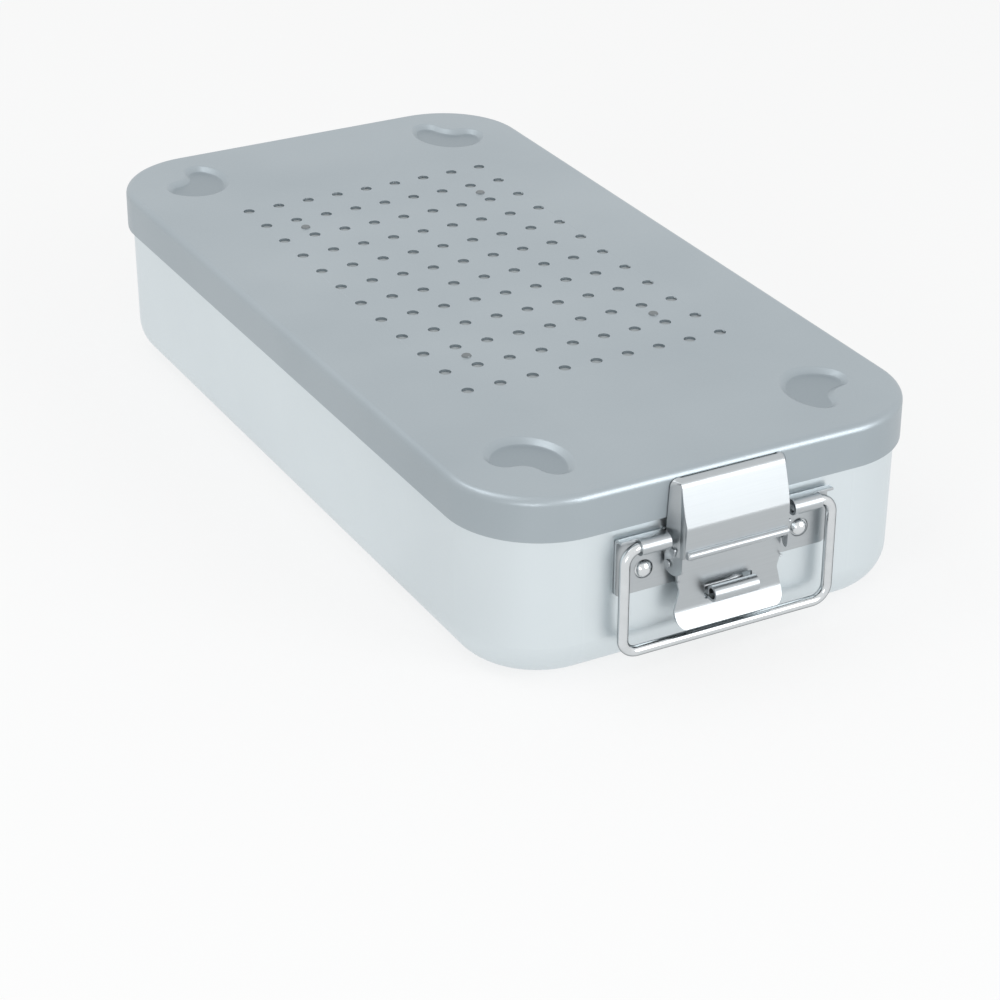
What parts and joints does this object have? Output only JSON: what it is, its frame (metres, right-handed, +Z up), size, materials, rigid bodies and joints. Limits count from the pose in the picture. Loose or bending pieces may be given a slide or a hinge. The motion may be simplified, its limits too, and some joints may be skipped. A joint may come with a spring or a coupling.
{
  "type": "sterilization container",
  "caption": "Rectangular perforated-lid container for steam sterilizing instrument trays, with over-centre draw latches and a bail handle at each end.",
  "frame": {"origin": "middle of the underside", "axes": "+X across the width, +Y along the length, +Z up"},
  "size_m": [0.28, 0.5764, 0.122],
  "materials": {
    "pan_aluminium": "pale satin anodised",
    "lid_aluminium": "grey satin anodised",
    "stainless_brushed": "satin",
    "stainless_polished": "polished",
    "gasket_silicone": "matt silicone",
    "filter_paper": "white filter paper"
  },
  "bodies": {
    "pan": {"pan_shell": "pan_aluminium", "front_bracket": "stainless_brushed", "front_bracket_rivet_left": "stainless_polished", "front_bracket_rivet_right": "stainless_polished", "rear_bracket": "stainless_brushed", "rear_bracket_rivet_left": "stainless_polished", "rear_bracket_rivet_right": "stainless_polished"},
    "lid": {"lid_shell": "lid_aluminium", "lid_gasket": "gasket_silicone", "filter_sheet": "filter_paper", "filter_retainer": "stainless_brushed", "filter_stud_1": "stainless_brushed", "filter_stud_2": "stainless_brushed", "filter_stud_3": "stainless_brushed", "filter_stud_4": "stainless_brushed", "filter_nut_1": "stainless_polished", "filter_nut_2": "stainless_polished", "filter_nut_3": "stainless_polished", "filter_nut_4": "stainless_polished", "front_keeper": "stainless_brushed", "front_keeper_rivet_left": "stainless_polished", "front_keeper_rivet_right": "stainless_polished", "rear_keeper": "stainless_brushed", "rear_keeper_rivet_left": "stainless_polished", "rear_keeper_rivet_right": "stainless_polished"},
    "front_lever": {"front_lever": "stainless_brushed", "front_lever_pin": "stainless_polished"},
    "front_cover": {"front_cover": "stainless_brushed", "front_cover_pin": "stainless_polished"},
    "front_handle": {"front_handle": "stainless_polished"},
    "rear_lever": {"rear_lever": "stainless_brushed", "rear_lever_pin": "stainless_polished"},
    "rear_cover": {"rear_cover": "stainless_brushed", "rear_cover_pin": "stainless_polished"},
    "rear_handle": {"rear_handle": "stainless_polished"}
  },
  "joints": [
    {"name": "lid_lift", "type": "slide", "parent": "pan", "child": "lid", "axis": [0, 0, 1], "range_m": [0, 0.03]},
    {"name": "front_lever_hinge", "type": "hinge", "parent": "pan", "child": "front_lever", "pos_m": [0, -0.2774, 0.0785], "axis": [-1, 0, 0], "range_deg": [0, 70.5]},
    {"name": "front_cover_hinge", "type": "hinge", "parent": "front_lever", "child": "front_cover", "pos_m": [0, -0.2748, 0.0625], "axis": [1, 0, 0], "range_deg": [0, 90.5]},
    {"name": "front_handle_hinge", "type": "hinge", "parent": "pan", "child": "front_handle", "pos_m": [0, -0.2774, 0.0785], "axis": [-1, 0, 0], "range_deg": [0, 90]},
    {"name": "rear_lever_hinge", "type": "hinge", "parent": "pan", "child": "rear_lever", "pos_m": [0, 0.2774, 0.0785], "axis": [1, 0, 0], "range_deg": [0, 70.5]},
    {"name": "rear_cover_hinge", "type": "hinge", "parent": "rear_lever", "child": "rear_cover", "pos_m": [0, 0.2748, 0.0625], "axis": [-1, 0, 0], "range_deg": [0, 90.5]},
    {"name": "rear_handle_hinge", "type": "hinge", "parent": "pan", "child": "rear_handle", "pos_m": [0, 0.2774, 0.0785], "axis": [1, 0, 0], "range_deg": [0, 90]}
  ],
  "couplings": [
    {"joint": "front_lever_hinge", "follows": "lid_lift", "rad_per_m": 40.724},
    {"joint": "front_cover_hinge", "follows": "lid_lift", "rad_per_m": 52.36},
    {"joint": "rear_lever_hinge", "follows": "lid_lift", "rad_per_m": 40.724},
    {"joint": "rear_cover_hinge", "follows": "lid_lift", "rad_per_m": 52.36}
  ]
}
